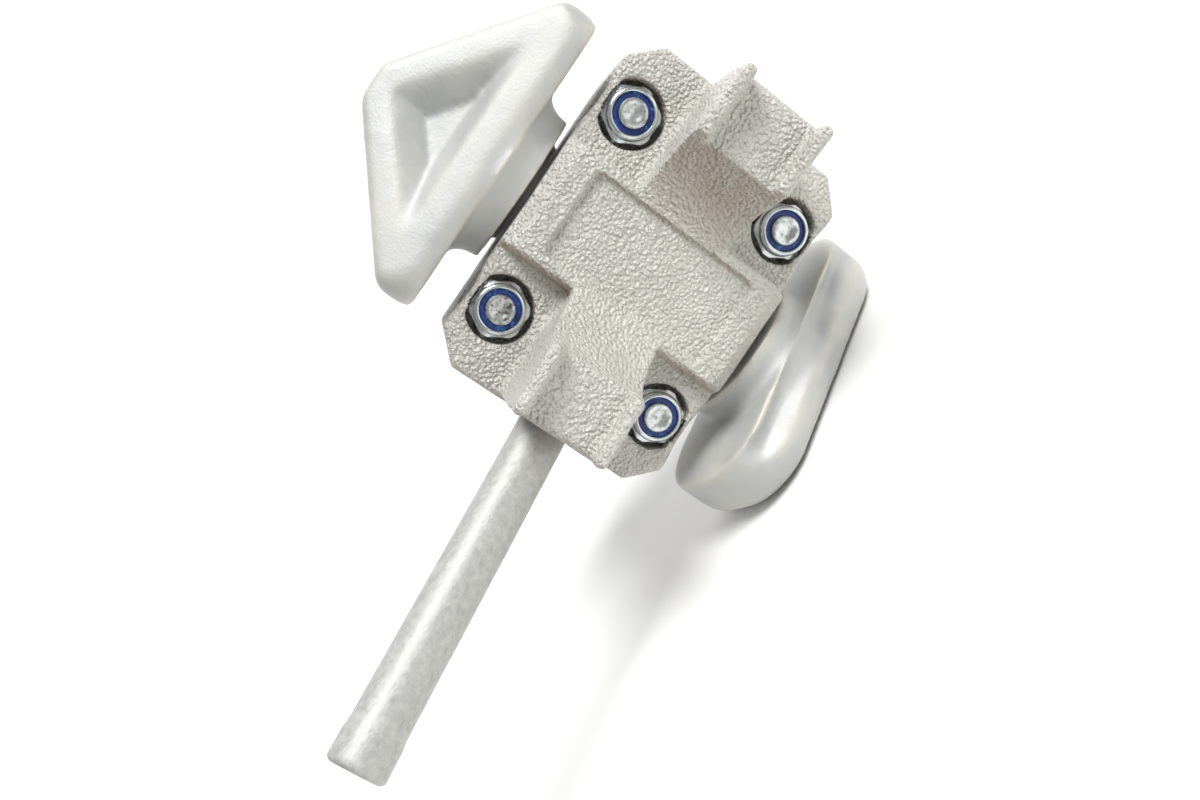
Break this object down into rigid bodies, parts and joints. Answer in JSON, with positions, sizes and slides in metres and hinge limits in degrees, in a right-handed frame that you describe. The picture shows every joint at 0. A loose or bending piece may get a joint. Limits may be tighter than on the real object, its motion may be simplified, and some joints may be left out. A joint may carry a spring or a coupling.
{
  "type": "container twistlock",
  "caption": "Hand-operated container twistlock: galvanised cast halves bolted round a forged spindle with a pointed upper cone, a flat lower cone and a round hand lever.",
  "frame": {"origin": "on the spindle axis, at the middle of the flange", "axes": "+Z along the spindle towards the pointed upper cone, +X along the housing's length away from the lever, -Y towards the nuts"},
  "size_m": [0.2112, 0.1416, 0.171],
  "materials": {
    "galvanised_casting": "hot-dip galvanised sand casting",
    "galvanised_forging": "hot-dip galvanised forging",
    "galvanised_lever": "hot-dip galvanised bar, worn",
    "zinc_plated_fastener": "bright zinc plate",
    "hardened_steel": "plain hardened steel",
    "blue_nylon": "moulded nylon"
  },
  "bodies": {
    "housing": {"front_housing": "galvanised_casting", "rear_housing": "galvanised_casting", "dowel_pin_1": "hardened_steel", "dowel_pin_2": "hardened_steel", "bolt_1": "zinc_plated_fastener", "lock_nut_1": "zinc_plated_fastener", "nut_insert_1": "blue_nylon", "bolt_2": "zinc_plated_fastener", "lock_nut_2": "zinc_plated_fastener", "nut_insert_2": "blue_nylon", "bolt_3": "zinc_plated_fastener", "lock_nut_3": "zinc_plated_fastener", "nut_insert_3": "blue_nylon", "bolt_4": "zinc_plated_fastener", "lock_nut_4": "zinc_plated_fastener", "nut_insert_4": "blue_nylon"},
    "spindle": {"spindle": "galvanised_forging", "lever": "galvanised_lever", "lever_pin": "hardened_steel", "detent_spring": "hardened_steel"},
    "plunger": {"detent_plunger": "hardened_steel"}
  },
  "joints": [
    {"name": "spindle_turn", "type": "hinge", "parent": "housing", "child": "spindle", "pos_m": [0, 0, 0], "axis": [0, 0, -1], "range_deg": [0, 57]},
    {"name": "plunger_slide", "type": "slide", "parent": "spindle", "child": "plunger", "axis": [0.891, 0.454, 0], "range_m": [0, 0.0014]}
  ]
}
